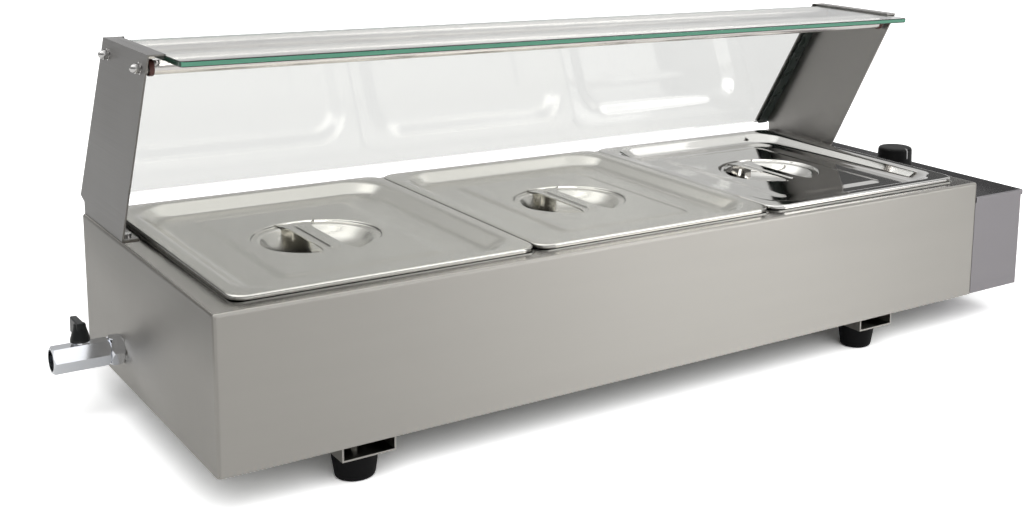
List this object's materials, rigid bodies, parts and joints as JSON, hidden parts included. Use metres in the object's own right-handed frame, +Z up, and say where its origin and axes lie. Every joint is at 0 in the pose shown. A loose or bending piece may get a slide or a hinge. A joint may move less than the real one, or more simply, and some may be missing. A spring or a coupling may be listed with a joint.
{
  "type": "countertop bain-marie",
  "caption": "Countertop wet-heat food warmer: long steel water bath with lidded food pans, forward-leaning glass guard and shelf, end control box with knob, and a drain tap.",
  "frame": {"origin": "middle of the outer box, on the plane of the feet's soles", "axes": "+X runs right along the front, towards the control box; +Y runs to the back; +Z is up"},
  "size_m": [0.9732, 0.3728, 0.34],
  "materials": {
    "casing_steel": "brushed along the length, satin",
    "guard_steel": "finely brushed, satin",
    "bath_steel": "plain cold-rolled",
    "lid_satin": "pressed, satin",
    "lid_polished": "pressed, mirror polished",
    "back_pane": "clear float glass, polished edges",
    "shelf_pane": "clear float glass with a green polished edge",
    "channel_dark": "dark extruded profile",
    "fasteners": "bright plated",
    "tap_chrome": "polished chrome plate",
    "seat_plastic": "white sealing plastic",
    "lever_plastic": "black moulded plastic",
    "knob_plastic": "black moulded plastic, white pointer line",
    "foot_rubber": "black rubber",
    "gasket_rubber": "red silicone",
    "heater_sheath": "annealed tube",
    "fitting_brass": "turned brass",
    "sensor_copper": "copper tube and bulb",
    "control_plastic": "cream ceramic and plastic",
    "spindle_metal": "turned metal",
    "gland_plastic": "black moulded plastic"
  },
  "bodies": {
    "base": {"acorn_nuts": "fasteners", "acorn_washers": "fasteners", "back_glass": "back_pane", "bottom_cover": "bath_steel", "bottom_cover_screws": "fasteners", "bracket_nuts": "fasteners", "bracket_screws": "fasteners", "cable_gland": "gland_plastic", "control_box_lid": "casing_steel", "control_box_screws": "fasteners", "control_box_shell": "casing_steel", "drain_lock_nut": "tap_chrome", "element_fittings": "fitting_brass", "element_gaskets": "gasket_rubber", "element_nuts": "fitting_brass", "element_saddles": "bath_steel", "foot_front_left": "foot_rubber", "foot_front_right": "foot_rubber", "foot_nuts": "fasteners", "foot_rail_left": "casing_steel", "foot_rail_right": "casing_steel", "foot_rear_left": "foot_rubber", "foot_rear_right": "foot_rubber", "foot_studs": "fasteners", "front_rod": "guard_steel", "gland_nut": "gland_plastic", "glass_channel_left": "channel_dark", "glass_channel_right": "channel_dark", "guard_bracket_left": "guard_steel", "guard_bracket_right": "guard_steel", "heating_element": "heater_sheath", "inner_tank": "bath_steel", "outer_casing": "casing_steel", "overheat_limiter": "control_plastic", "pan_bars": "casing_steel", "rear_rod": "guard_steel", "rod_caps": "channel_dark", "rod_nuts": "fasteners", "sensor_bulb": "sensor_copper", "shelf_glass": "shelf_pane", "terminal_block": "control_plastic", "thermostat_body": "control_plastic", "tie_studs": "fasteners", "valve_body": "tap_chrome", "valve_seats": "seat_plastic"},
    "pan_1": {"pan_left": "bath_steel"},
    "pan_2": {"pan_middle": "bath_steel"},
    "pan_3": {"pan_right": "bath_steel"},
    "lid_1": {"lid_left": "lid_satin", "lid_handle_left": "lid_satin"},
    "lid_2": {"lid_middle": "lid_satin", "lid_handle_middle": "lid_satin"},
    "lid_3": {"lid_right": "lid_polished", "lid_handle_right": "lid_polished"},
    "knob": {"thermostat_knob": "knob_plastic", "thermostat_spindle": "spindle_metal"},
    "tap_lever": {"valve_handle": "lever_plastic", "valve_stem": "tap_chrome", "valve_ball": "tap_chrome", "handle_screw": "fasteners"}
  },
  "joints": [
    {"name": "pan_left_lift", "type": "slide", "parent": "base", "child": "pan_1", "axis": [0, -0.2079, 0.9781], "range_m": [0, 0.04]},
    {"name": "pan_middle_lift", "type": "slide", "parent": "base", "child": "pan_2", "axis": [0, -0.2079, 0.9781], "range_m": [0, 0.04]},
    {"name": "pan_right_lift", "type": "slide", "parent": "base", "child": "pan_3", "axis": [0, -0.2079, 0.9781], "range_m": [0, 0.04]},
    {"name": "lid_left_lift", "type": "slide", "parent": "pan_1", "child": "lid_1", "axis": [0, -0.5446, 0.8387], "range_m": [0, 0.09]},
    {"name": "lid_middle_lift", "type": "slide", "parent": "pan_2", "child": "lid_2", "axis": [0, -0.5446, 0.8387], "range_m": [0, 0.09]},
    {"name": "lid_right_lift", "type": "slide", "parent": "pan_3", "child": "lid_3", "axis": [0, -0.5446, 0.8387], "range_m": [0, 0.09]},
    {"name": "thermostat_turn", "type": "hinge", "parent": "base", "child": "knob", "pos_m": [0.45465, -0.0119, 0.158], "axis": [0, 0, -1], "range_deg": [0, 280]},
    {"name": "tap_turn", "type": "hinge", "parent": "base", "child": "tap_lever", "pos_m": [-0.46285, 0.0566, 0.0795], "axis": [0, 0, 1], "range_deg": [0, 90]}
  ]
}
